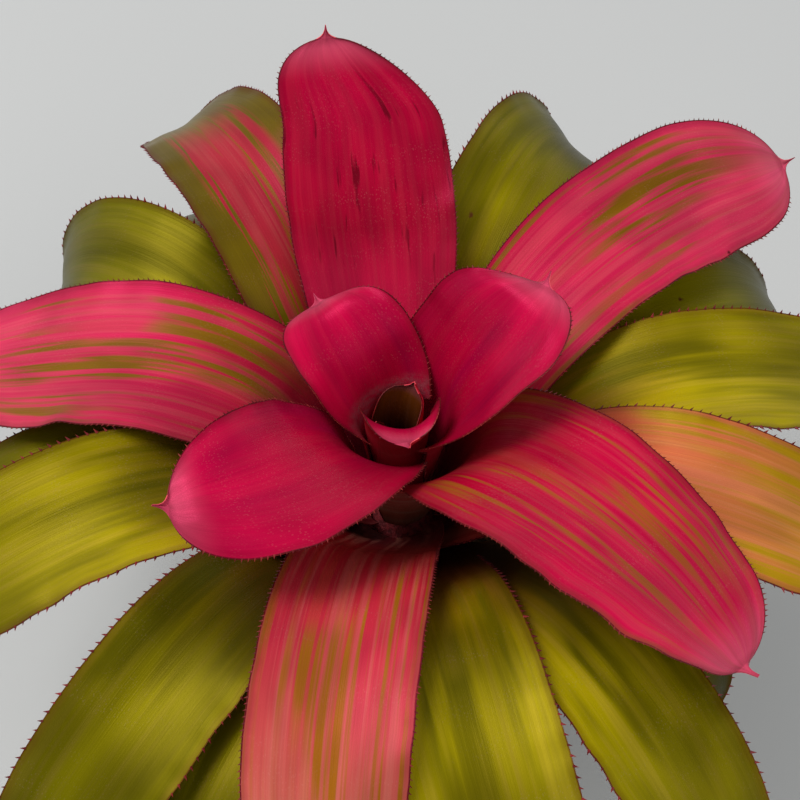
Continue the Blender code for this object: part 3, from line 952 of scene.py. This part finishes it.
def make_rows(leaf, order):
    """The blade's rows, closer together towards the tip, and then the spine's."""
    points = centreline(leaf, order)
    count = max(FEWEST_ROWS, round(leaf.length * MM / ROW_PITCH))
    last = 1.0
    while half_width(leaf, last) < min(BLADE_END_HALF, BLADE_END_SHARE * leaf.width * MM):
        last -= BLADE_END_STEP
    rows = []
    for index in range(count + 1):
        along = last * (1.0 - (1.0 - index / count) ** TIP_CROWDING)
        rows.append(make_row(leaf, order, points, along, 0.0))
    for share in SPINE_ROWS:
        rows.append(make_row(leaf, order, points, last, share * SPINE_LENGTH * short_share(leaf)))
    return rows


def spread_columns(share):
    """Puts the columns closer together towards the margins."""
    return 0.5 * share + 0.5 * math.sin(0.5 * math.pi * share)


def weight(leaf, row, edge):
    """How thick the leaf is at this distance from its edge, as a share of its full thickness."""
    if row.beyond > 0.0:
        return SPINE_WEIGHT * (1.0 - SPINE_THINNING * row.beyond / SPINE_LENGTH)
    return MARGIN_WEIGHT + (1.0 - MARGIN_WEIGHT) * ease(0.0, THINNING_SHARE * leaf.width * MM, edge)


def make_blade(leaf, order, rows, name, materials):
    """The leaf without its teeth, as one closed mesh: upper side, underside and rim."""
    bm = bmesh.new()
    bmesh.ops.create_grid(bm, x_segments=COLUMNS, y_segments=len(rows) - 1, size=1.0)
    flow = bm.verts.layers.float_vector.new("flow")
    place = bm.verts.layers.float_vector.new("place")
    tone = bm.verts.layers.float.new("tone")
    weights = bm.verts.layers.deform.new()
    seed = FLOW_APART * order
    for vert in bm.verts:
        row = rows[round(0.5 * (vert.co.y + 1.0) * (len(rows) - 1))]
        across = spread_columns(vert.co.x)
        edge = margin_distance(leaf, row, across)
        sideways = across * leaf.width / (2.0 * FLOW_UNIT)
        vert[flow] = (sideways, row.along * leaf.length / FLOW_UNIT + seed, seed)
        vert[place] = (across, row.along, edge / MM)
        vert[tone] = leaf.tone
        vert[weights][0] = weight(leaf, row, edge)
        vert.co = surface_point(leaf, order, row, across)
    bmesh.ops.reverse_faces(bm, faces=bm.faces)
    mesh = bpy.data.meshes.new(name)
    bm.to_mesh(mesh)
    bm.free()
    blank = bpy.data.objects.new(name + "_blank", mesh)
    bpy.context.scene.collection.objects.link(blank)
    blank.vertex_groups.new(name="thickness")
    for material in materials:
        mesh.materials.append(material)
    solid = blank.modifiers.new("Thickness", "SOLIDIFY")
    solid.thickness = LEAF_THICKNESS
    solid.offset = 0.0
    solid.vertex_group = "thickness"
    solid.material_offset = 1
    solid.material_offset_rim = MARGIN_SLOT
    return apply_modifiers(blank)


def apply_modifiers(obj):
    """The object's finished mesh. The object itself is removed."""
    graph = bpy.context.evaluated_depsgraph_get()
    mesh = bpy.data.meshes.new_from_object(obj.evaluated_get(graph))
    bpy.data.objects.remove(obj, do_unlink=True)
    return mesh


def add_teeth(bm, leaf, order, rows, rng):
    """Small forward-leaning teeth along both margins."""
    pitch, size = COARSE_TEETH if leaf.finish in COARSE_FINISHES else FINE_TEETH
    size *= short_share(leaf)
    for end in (-1.0, 1.0):
        since = 0.0
        before = None
        for row in rows:
            if row.beyond > 0.0 or not TOOTH_START < row.along < TOOTH_STOP:
                continue
            point = surface_point(leaf, order, row, end)
            if before is None:
                before = point
                continue
            run = point - before
            since += run.length
            while since >= pitch:
                since -= pitch
                place = point - run * min(1.0, since / max(run.length, 1e-6))
                inner = surface_point(leaf, order, row, end * TOOTH_INNER)
                outward = (point - inner).normalized()
                lean = (outward + TOOTH_FORWARD * run.normalized()).normalized()
                add_tooth(bm, place, lean, size * rng.uniform(*TOOTH_SIZES))
            before = point


def add_tooth(bm, place, lean, length):
    """One pointed tooth, with its foot sunk in the margin."""
    turn = lean.to_track_quat("Z", "Y").to_matrix().to_4x4()
    middle = Matrix.Translation(place + lean * (0.5 * length - 0.5 * TOOTH_SUNK))
    made = bmesh.ops.create_cone(
        bm,
        cap_ends=True,
        segments=TOOTH_SIDES,
        radius1=TOOTH_FOOT * length,
        radius2=TOOTH_POINT * length,
        depth=length + TOOTH_SUNK,
        matrix=middle @ turn,
    )
    for face in {face for vert in made["verts"] for face in vert.link_faces}:
        face.material_index = MARGIN_SLOT


def make_leaf(order, materials, slots):
    """A finished leaf, which stands for its packed one."""
    leaf = LEAVES[order]
    node = "leaf_%02d" % (order + 1)
    name = node + "_blade"
    rows = make_rows(leaf, order)
    mesh = make_blade(leaf, order, rows, name, materials)
    bm = bmesh.new()
    add_teeth(bm, leaf, order, rows, random.Random(order))
    bm.from_mesh(mesh)
    bm.to_mesh(mesh)
    bm.free()
    mesh.shade_smooth()
    mesh.set_sharp_from_angle(angle=SMOOTH_BELOW)
    obj = bpy.data.objects.new(name, mesh)
    bpy.context.scene.collection.objects.link(obj)
    settle(obj, node, slots[node])


def settle(obj, node, slot):
    """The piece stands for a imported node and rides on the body."""
    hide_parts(node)
    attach(obj, "root")


# The pot, the mix and the stem


def spin_profile(profile, steps):
    """A closed bmesh, turned round Z from (radius, height) points that start and end on the axis."""
    bm = bmesh.new()
    verts = [bm.verts.new((radius, 0.0, height)) for radius, height in profile]
    edges = [bm.edges.new(pair) for pair in zip(verts, verts[1:])]
    bmesh.ops.spin(
        bm,
        geom=verts + edges,
        axis=(0, 0, 1),
        cent=(0, 0, 0),
        steps=steps,
        angle=2 * math.pi,
        use_merge=True,
    )
    bmesh.ops.remove_doubles(bm, verts=bm.verts, dist=0.01 * MM)
    bmesh.ops.recalc_face_normals(bm, faces=bm.faces)
    return bm


def bevel_sharp(bm, width, segments):
    """Rounds the edges where the surface turns by more than SHARP_TURN, in radians."""
    sharp = [edge for edge in bm.edges if len(edge.link_faces) == 2 and edge.calc_face_angle() > SHARP_TURN]
    bmesh.ops.bevel(
        bm,
        geom=sharp,
        offset=width,
        segments=segments,
        profile=0.5,
        affect="EDGES",
        material=-1,
        clamp_overlap=True,
    )


def put_mesh(name, bm, material):
    """A new object from a bmesh."""
    mesh = bpy.data.meshes.new(name)
    bm.to_mesh(mesh)
    bm.free()
    mesh.materials.append(material)
    mesh.shade_smooth()
    mesh.set_sharp_from_angle(angle=SMOOTH_BELOW)
    obj = bpy.data.objects.new(name, mesh)
    bpy.context.scene.collection.objects.link(obj)
    return obj


def pot_wall_radius(height):
    """The outside of the pot's wall below its rim."""
    top = box("pot")[1]
    return POT_FOOT_RADIUS + (top.x - POT_RIM_OUT - POT_FOOT_RADIUS) * height / top.z


def make_pot(material):
    """A nursery pot: a rolled and grooved rim, a stacking step, a ring foot and drain holes."""
    top = box("pot")[1]
    rim_low = top.z - POT_RIM_DEPTH
    outer = [(top.x - LIP_EDGE, top.z), (top.x, top.z - LIP_DEPTH)]
    for ring in range(RIM_GROOVES):
        height = top.z - (GROOVE_START + GROOVE_PITCH * ring)
        out = top.x - (top.z - height) * RIM_SLANT
        outer += [
            (out, height),
            (out - GROOVE_DEPTH, height - 0.5 * MM),
            (out - GROOVE_DEPTH, height - 1.1 * MM),
            (out, height - 1.6 * MM),
        ]
    outer += [
        (pot_wall_radius(rim_low) + POT_RIM_OUT, rim_low + LIP_DEPTH),
        (pot_wall_radius(rim_low) + POT_RIM_OUT - LIP_EDGE, rim_low),
        (pot_wall_radius(rim_low), rim_low - LIP_DEPTH),
        (pot_wall_radius(0.30 * top.z) + 0.1 * MM, 0.30 * top.z),
        (pot_wall_radius(0.29 * top.z) - 0.5 * MM, 0.28 * top.z),
        (pot_wall_radius(POT_FOOT_EDGE), POT_FOOT_EDGE),
        (POT_FOOT_RADIUS - POT_FOOT_EDGE, 0.0),
        (POT_FOOT_RADIUS - FOOT_RING_WIDTH, 0.0),
        (POT_FOOT_RADIUS - FOOT_RING_WIDTH - 1 * MM, FLOOR_HOLLOW),
        (0.0, FLOOR_HOLLOW),
    ]
    inner = [
        (0.0, POT_FLOOR),
        (pot_wall_radius(POT_FLOOR) - POT_WALL - POT_FOOT_EDGE, POT_FLOOR),
        (pot_wall_radius(POT_FLOOR + POT_FOOT_EDGE) - POT_WALL, POT_FLOOR + POT_FOOT_EDGE),
        (pot_wall_radius(rim_low) - POT_WALL, rim_low),
        (pot_wall_radius(top.z) - POT_WALL, top.z - LIP_DEPTH),
        (pot_wall_radius(top.z) - POT_WALL + LIP_EDGE, top.z),
    ]
    bm = spin_profile(inner + outer, POT_STEPS)
    bevel_sharp(bm, 0.35 * MM, 2)
    solid = put_mesh("pot_solid", bm, material)
    cutter = put_mesh("drain_cutter", drain_cutters(), material)
    cut = solid.modifiers.new("Drain", "BOOLEAN")
    cut.operation = "DIFFERENCE"
    cut.object = cutter
    mesh = apply_modifiers(solid)
    bpy.data.objects.remove(cutter, do_unlink=True)
    mesh.set_sharp_from_angle(angle=SMOOTH_BELOW)
    obj = bpy.data.objects.new("nursery_pot", mesh)
    bpy.context.scene.collection.objects.link(obj)
    return obj


def drain_cutters():
    """A ring of upright cylinders."""
    bm = bmesh.new()
    for index in range(DRAIN_HOLES):
        angle = 2.0 * math.pi * (index + 0.5) / DRAIN_HOLES
        place = Vector((DRAIN_RING_RADIUS * math.cos(angle), DRAIN_RING_RADIUS * math.sin(angle), 0.0))
        bmesh.ops.create_cone(
            bm,
            cap_ends=True,
            segments=DRAIN_HOLE_SIDES,
            radius1=DRAIN_HOLE_RADIUS,
            radius2=DRAIN_HOLE_RADIUS,
            depth=6.0 * POT_FLOOR,
            matrix=Matrix.Translation(place),
        )
    return bm


def mix_height(radius):
    """The height of the mix's surface."""
    high = box("potting_mix")[1]
    return high.z - MIX_DOME_HEIGHT * (radius / high.x) ** 2


def make_mix(material):
    """The block of mix, with a crumbly top."""
    low, high = box("potting_mix")
    hole = STEM_FOOT_RADIUS + FIT_CLEARANCE
    well = box("stem")[0].z - FIT_CLEARANCE
    profile = [(0.0, well), (hole, well)]
    for ring in range(MIX_RINGS + 1):
        radius = hole + (high.x - hole) * ring / MIX_RINGS
        profile.append((radius, mix_height(radius)))
    foot = pot_wall_radius(low.z) - POT_WALL - MIX_FOOT_EDGE - 0.5 * MM
    profile += [(foot + MIX_FOOT_EDGE, low.z + MIX_FOOT_EDGE), (foot, low.z), (0.0, low.z)]
    bm = spin_profile(profile, MIX_STEPS)
    for vert in bm.verts:
        radius = math.hypot(vert.co.x, vert.co.y)
        if vert.co.z > mix_height(high.x) - 0.5 * MM and hole + 1 * MM < radius < high.x - 0.5 * MM:
            coarse = noise.noise(vert.co * CRUMBLE_COARSE)
            fine = noise.noise(vert.co * CRUMBLE_FINE)
            vert.co.z += (1.3 * coarse + 0.8 * fine - 0.4) * MM
    return put_mesh("mix_block", bm, material)


def add_chunk(bm, place, size, turn, roundness, rng):
    """One rough lump, flattened and turned."""
    squash = Matrix.Diagonal((size.x, size.y, size.z, 1.0))
    made = bmesh.ops.create_icosphere(bm, subdivisions=1, radius=1.0, matrix=Matrix.Identity(4))
    matrix = Matrix.Translation(place) @ turn.to_4x4() @ squash
    for vert in made["verts"]:
        vert.co *= 1.0 + (1.0 - roundness) * rng.uniform(-0.45, 0.45)
        vert.co = matrix @ vert.co


def scatter(count, rng):
    """Seeded places on the mix's surface, between the stem and the pot's wall."""
    high = box("potting_mix")[1]
    inner, outer = STEM_FOOT_RADIUS + SCATTER_INSET, high.x - SCATTER_INSET
    for _ in range(count):
        radius = math.sqrt(rng.uniform(inner**2, outer**2))
        angle = rng.uniform(0.0, 2.0 * math.pi)
        yield Vector((radius * math.cos(angle), radius * math.sin(angle), mix_height(radius)))


def random_turn(rng):
    """A lump's turn: any way round, tilted a little."""
    spin = Matrix.Rotation(rng.uniform(0.0, 2.0 * math.pi), 3, "Z")
    tilt = Matrix.Rotation(rng.gauss(0.0, 0.35), 3, "X")
    return spin @ tilt


def make_bark(material):
    """Chips of bark on the mix."""
    rng = random.Random(5)
    bm = bmesh.new()
    for place in scatter(BARK_CHIPS, rng):
        length = rng.uniform(*BARK_LENGTHS) * MM
        size = Vector((length, length * rng.uniform(0.45, 0.8), length * rng.uniform(0.22, 0.42)))
        place.z += 0.3 * size.z
        add_chunk(bm, place, size, random_turn(rng), 0.35, rng)
    bmesh.ops.recalc_face_normals(bm, faces=bm.faces)
    return put_mesh("bark_chips", bm, material)


def make_perlite(material):
    """Pale bits of perlite among the bark."""
    rng = random.Random(11)
    bm = bmesh.new()
    for place in scatter(PERLITE_BITS, rng):
        width = rng.uniform(*PERLITE_WIDTHS) * MM
        place.z += PERLITE_LIFT
        add_chunk(bm, place, Vector((width, width, 0.8 * width)), random_turn(rng), 0.6, rng)
    bmesh.ops.recalc_face_normals(bm, faces=bm.faces)
    return put_mesh("perlite_bits", bm, material)


def make_fibres(material):
    """Loose fibres on the mix: thin straight rods."""
    rng = random.Random(17)
    bm = bmesh.new()
    for place in scatter(FIBRES, rng):
        length = rng.uniform(*FIBRE_LENGTHS) * MM
        made = bmesh.ops.create_cone(
            bm, cap_ends=True, segments=5, radius1=0.22 * MM, radius2=0.16 * MM, depth=length
        )
        lying = Matrix.Rotation(0.5 * math.pi, 4, "Y")
        turn = Matrix.Rotation(rng.uniform(0.0, 2.0 * math.pi), 4, "Z")
        place.z += FIBRE_LIFT
        bmesh.ops.transform(bm, matrix=Matrix.Translation(place) @ turn @ lying, verts=made["verts"])
    return put_mesh("coir_fibres", bm, material)


def make_stem(material):
    """The stem: a cone ringed with leaf scars over a straight foot."""
    low, high = box("stem")
    shoulder = box("pot")[1].z + LOW_LEAF_ABOVE_RIM - STEM_SHOULDER_BELOW_LEAVES
    top_radius, top = 0.6 * TOP_LEAF_RADIUS, high.z - STEM_TIP_DEPTH
    profile = [(0.0, high.z), (0.5 * TOP_LEAF_RADIUS, high.z - 0.6 * MM)]
    for ring in range(SCAR_RINGS + 1):
        share = ring / SCAR_RINGS
        radius = top_radius + (high.x - top_radius) * share
        height = top + (shoulder - top) * share
        profile += [(radius - SCAR_DEPTH, height + SCAR_HEIGHT), (radius, height)]
    profile += [
        (STEM_FOOT_RADIUS, shoulder - STEM_SHOULDER_DEPTH),
        (STEM_FOOT_RADIUS, low.z + STEM_FOOT_EDGE),
        (STEM_FOOT_RADIUS - STEM_FOOT_EDGE, low.z),
        (0.0, low.z),
    ]
    return put_mesh("leaf_scarred_stem", spin_profile(profile, STEM_STEPS), material)


# The stage


def make_floor():
    """A wide pale floor."""
    bm = bmesh.new()
    bmesh.ops.create_circle(bm, cap_ends=True, segments=96, radius=FLOOR_RADIUS)
    paper = make_stage_material("floor_paper", (0.40, 0.40, 0.39, 1.0), (0.48, 0.48, 0.47, 1.0))
    put_mesh("floor", bm, paper)


def make_world():
    """Soft light from all round."""
    world = bpy.data.worlds.new("studio")
    world.use_nodes = True
    background = world.node_tree.nodes["Background"]
    background.inputs["Color"].default_value = SKY_COLOUR
    background.inputs["Strength"].default_value = SKY_STRENGTH
    bpy.context.scene.world = world


def add_light(name, place, size, watts):
    """A square soft light that faces the plant."""
    data = bpy.data.lights.new(name, "AREA")
    data.shape = "SQUARE"
    data.size = size
    data.energy = watts
    light = bpy.data.objects.new(name, data)
    light.location = place
    light.rotation_euler = (VIEW_TARGET - Vector(place)).to_track_quat("-Z", "Y").to_euler()
    bpy.context.scene.collection.objects.link(light)


def make_lights():
    """A key light from the left and a weaker one from the front right."""
    add_light("key", (-0.80, 0.25, 1.90), 1.0, 36.0)
    add_light("fill", (1.0, -1.1, 1.5), 1.6, 15.0)


def make_camera():
    """A long lens that looks down into the rosette."""
    data = bpy.data.cameras.new("camera")
    data.lens = VIEW_LENS
    data.sensor_width = VIEW_SENSOR
    data.clip_start = 0.02
    data.clip_end = 50.0
    camera = bpy.data.objects.new("camera", data)
    back = Vector((0.0, -math.cos(VIEW_ELEVATION), math.sin(VIEW_ELEVATION)))
    camera.location = VIEW_TARGET + VIEW_DISTANCE * back
    camera.rotation_euler = (-back).to_track_quat("-Z", "Y").to_euler()
    bpy.context.scene.collection.objects.link(camera)
    bpy.context.scene.camera = camera


def clear_scene():
    """Removes what Blender starts with."""
    for obj in list(bpy.data.objects):
        bpy.data.objects.remove(obj, do_unlink=True)


def make_groups():
    """The node groups, which the materials place."""
    make_streaks_group()
    make_veins_group()
    make_mottle_group()
    make_scurf_group()
    make_spots_group()
    make_margin_group()
    make_grain_group()


def make_leaves(slots):
    """All leaves, each with its upper side's, underside's and margin's materials."""
    uppers = {name: make_leaf_material("leaf_" + name, finish) for name, finish in FINISHES.items()}
    undersides = {}
    for name, side in UNDERSIDES.items():
        undersides[name] = make_underside_material("underside_" + name, side)
    margin = make_margin_material()
    for order, leaf in enumerate(LEAVES):
        underside = undersides[UNDERSIDE_OF.get(leaf.finish, "red")]
        make_leaf(order, [uppers[leaf.finish], underside, margin], slots)


def make_pot_and_mix(slots):
    """The pot, the mix with what lies on it, and the stem."""
    settle(make_pot(make_pot_material()), "pot", slots["pot"])
    crumbs = {name: make_crumb_material(name, crumb) for name, crumb in CRUMBS.items()}
    settle(make_mix(crumbs["mix_soil"]), "potting_mix", slots["potting_mix"])
    loose = [make_bark(crumbs["bark"]), make_perlite(crumbs["perlite"]), make_fibres(crumbs["coir"])]
    for piece in loose:
        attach(piece, "root")
    settle(make_stem(make_stem_material()), "stem", slots["stem"])


clear_scene()
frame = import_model()
node_slots = {row["node"]: row["material_slot"] for row in frame["record"]["subparts"]}
bpy.context.scene.view_settings.view_transform = "Standard"
make_groups()
make_leaves(node_slots)
make_pot_and_mix(node_slots)
make_floor()
make_world()
make_lights()
make_camera()
